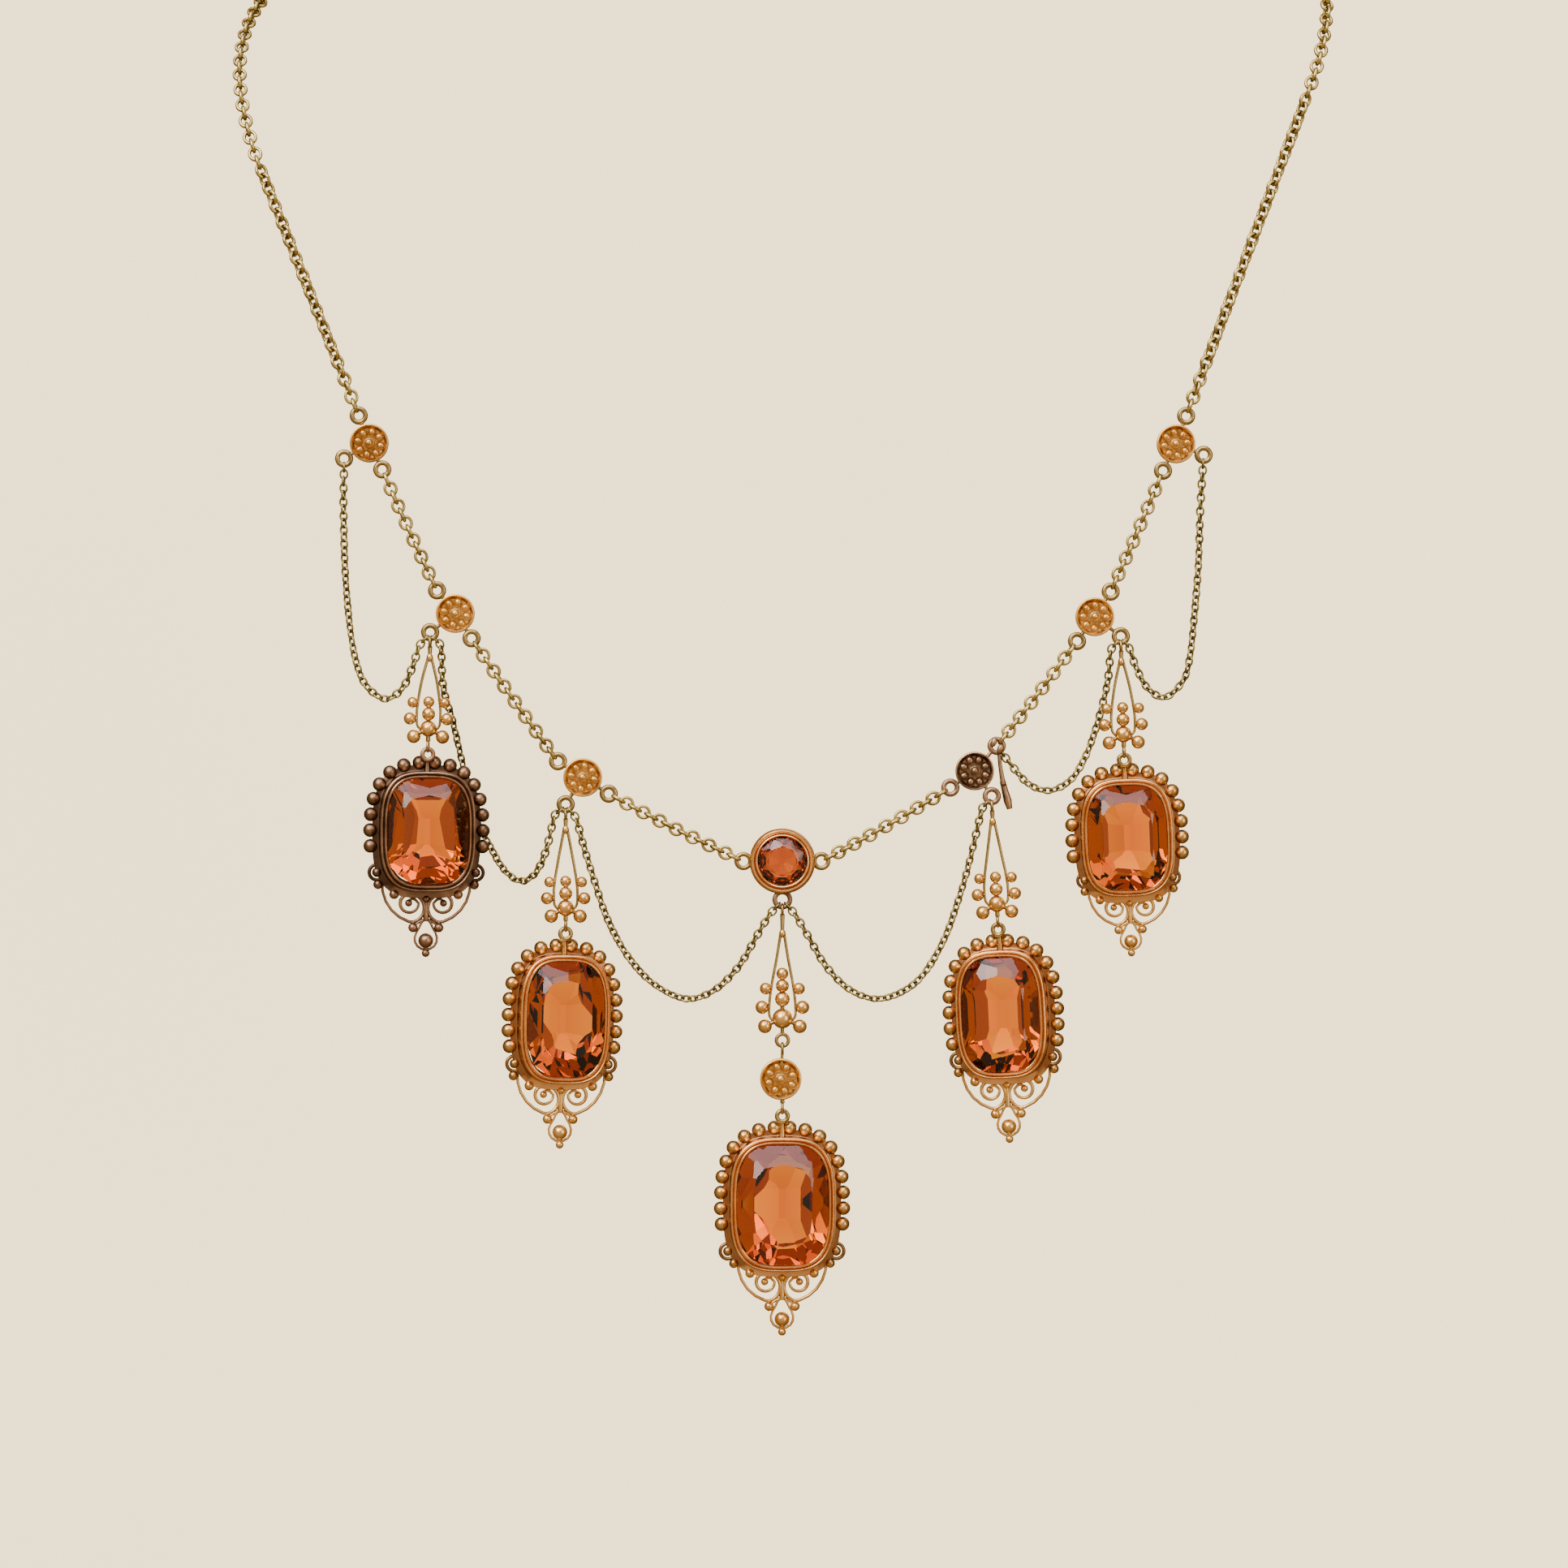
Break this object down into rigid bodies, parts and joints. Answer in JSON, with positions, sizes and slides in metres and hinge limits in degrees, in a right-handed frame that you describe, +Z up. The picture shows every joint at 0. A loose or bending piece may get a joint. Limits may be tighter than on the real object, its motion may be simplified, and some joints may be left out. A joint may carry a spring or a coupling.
{
  "type": "festoon necklace",
  "caption": "Fine gold chain necklace with flower rosettes, hanging swag chains and drops that each carry a framed cushion-cut citrine under a small wire spray.",
  "frame": {"origin": "middle of the clasp, at the nape; the front chains hang in the plane y = -0.052 m", "axes": "+X to the right as seen from the front, +Z up, the front of the necklace faces -Y"},
  "size_m": [0.1364, 0.0574, 0.1828],
  "materials": {
    "gold": "satin yellow gold, worn",
    "rose_gold": "polished rosy gold, tarnished in the hollows",
    "old_gold": "dull olive gold",
    "dark_gold": "gold with a dark brown tarnish",
    "citrine": "clear orange-brown cut stone"
  },
  "bodies": {
    "necklace": {"clasp": "gold", "chain_back_left": "gold", "chain_back_right": "gold", "chain_side_left": "gold", "chain_side_right": "gold", "chain_left_upper": "gold", "chain_left_middle": "gold", "chain_left_lower": "gold", "chain_right_upper": "gold", "chain_right_middle": "gold", "chain_right_lower": "gold", "swag_left_outer": "old_gold", "swag_left_middle": "old_gold", "swag_left_inner": "old_gold", "swag_right_inner": "old_gold", "swag_right_middle": "old_gold", "swag_right_outer": "old_gold", "rosette_left_outer": "gold", "rosette_left_middle": "gold", "rosette_left_inner": "gold", "rosette_right_inner": "dark_gold", "rosette_right_middle": "gold", "rosette_right_outer": "gold", "round_bezel": "rose_gold", "round_citrine": "citrine"},
    "spray_left_outer_body": {"spray_left_outer": "gold"},
    "spray_left_inner_body": {"spray_left_inner": "gold"},
    "spray_centre_body": {"spray_centre": "gold"},
    "spray_right_inner_body": {"spray_right_inner": "gold"},
    "spray_right_outer_body": {"spray_right_outer": "gold"},
    "rosette_drop_body": {"rosette_drop": "gold"},
    "pendant_left_outer": {"frame_left_outer": "dark_gold", "citrine_left_outer": "citrine"},
    "pendant_left_inner": {"frame_left_inner": "rose_gold", "citrine_left_inner": "citrine"},
    "pendant_centre": {"frame_centre": "rose_gold", "citrine_centre": "citrine"},
    "pendant_right_inner": {"frame_right_inner": "rose_gold", "citrine_right_inner": "citrine"},
    "pendant_right_outer": {"frame_right_outer": "rose_gold", "citrine_right_outer": "citrine"}
  },
  "joints": [
    {"name": "drop_left_outer_swing", "type": "hinge", "parent": "necklace", "child": "spray_left_outer_body", "pos_m": [-0.0434, -0.052, -0.09538], "axis": [-1, 0, 0], "range_deg": [-2, 50]},
    {"name": "pendant_left_outer_swing", "type": "hinge", "parent": "spray_left_outer_body", "child": "pendant_left_outer", "pos_m": [-0.04368, -0.052, -0.10868], "axis": [-0.9902, -0.1392, 0.0069], "range_deg": [-2, 25]},
    {"name": "drop_left_inner_swing", "type": "hinge", "parent": "necklace", "child": "spray_left_inner_body", "pos_m": [-0.0267, -0.052, -0.11658], "axis": [-1, 0, 0], "range_deg": [-12, 50]},
    {"name": "pendant_left_inner_swing", "type": "hinge", "parent": "spray_left_inner_body", "child": "pendant_left_inner", "pos_m": [-0.0267, -0.052, -0.13078], "axis": [-0.9814, -0.1908, 0.0206], "range_deg": [-12, 25]},
    {"name": "drop_centre_swing", "type": "hinge", "parent": "necklace", "child": "spray_centre_body", "pos_m": [0, -0.052, -0.12835], "axis": [-1, 0, 0], "range_deg": [-12, 50]},
    {"name": "rosette_drop_swing", "type": "hinge", "parent": "spray_centre_body", "child": "rosette_drop_body", "pos_m": [0, -0.052, -0.14546], "axis": [-1, 0, 0], "range_deg": [-10, 25]},
    {"name": "pendant_centre_swing", "type": "hinge", "parent": "rosette_drop_body", "child": "pendant_centre", "pos_m": [0, -0.052, -0.15326], "axis": [-0.9994, -0.0349, 0], "range_deg": [-12, 25]},
    {"name": "drop_right_inner_swing", "type": "hinge", "parent": "necklace", "child": "spray_right_inner_body", "pos_m": [0.0258, -0.052, -0.11558], "axis": [-1, 0, 0], "range_deg": [-12, 50]},
    {"name": "pendant_right_inner_swing", "type": "hinge", "parent": "spray_right_inner_body", "child": "pendant_right_inner", "pos_m": [0.02654, -0.052, -0.13026], "axis": [-0.9865, 0.1564, -0.0482], "range_deg": [-12, 25]},
    {"name": "drop_right_outer_swing", "type": "hinge", "parent": "necklace", "child": "spray_right_outer_body", "pos_m": [0.0417, -0.052, -0.09588], "axis": [-1, 0, 0], "range_deg": [-5, 50]},
    {"name": "pendant_right_outer_swing", "type": "hinge", "parent": "spray_right_outer_body", "child": "pendant_right_outer", "pos_m": [0.0421, -0.052, -0.10937], "axis": [-0.9987, 0.0349, -0.0384], "range_deg": [-12, 25]}
  ]
}
